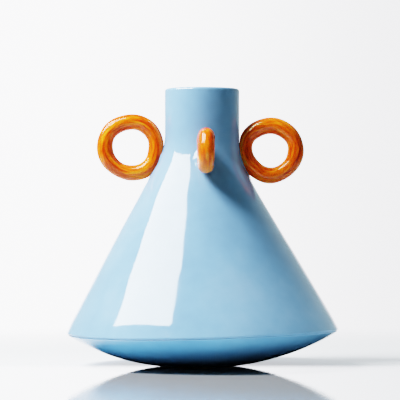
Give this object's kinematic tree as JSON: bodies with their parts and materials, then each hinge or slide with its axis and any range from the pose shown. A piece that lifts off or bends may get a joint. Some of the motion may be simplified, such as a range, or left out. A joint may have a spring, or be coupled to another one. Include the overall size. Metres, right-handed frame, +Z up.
{
  "type": "ceramic vase",
  "caption": "Glazed stoneware vase with a straight neck, a wide conical body over a shallow rounded base, and ring handles around the shoulder.",
  "frame": {"origin": "centre of the foot, on the surface the vase stands on", "axes": "+Z up along the vase's axis, front ring towards -Y, larger rings on -X and +X"},
  "size_m": [0.2904, 0.2904, 0.3],
  "materials": {
    "blue_glaze": "glossy light blue glaze over stoneware",
    "amber_glaze": "glossy mottled amber glaze, yellow to red-brown",
    "joint_slip": "matt fired slip"
  },
  "bodies": {
    "root": {"neck": "blue_glaze", "shoulder_cone": "blue_glaze", "base_bowl": "blue_glaze", "neck_slip_joint": "joint_slip", "edge_slip_joint": "joint_slip", "ring_left": "amber_glaze", "ring_right": "amber_glaze", "ring_front": "amber_glaze", "ring_back": "amber_glaze", "ring_slip_left": "blue_glaze", "ring_slip_right": "blue_glaze", "ring_slip_front": "blue_glaze", "ring_slip_back": "blue_glaze"}
  },
  "joints": []
}
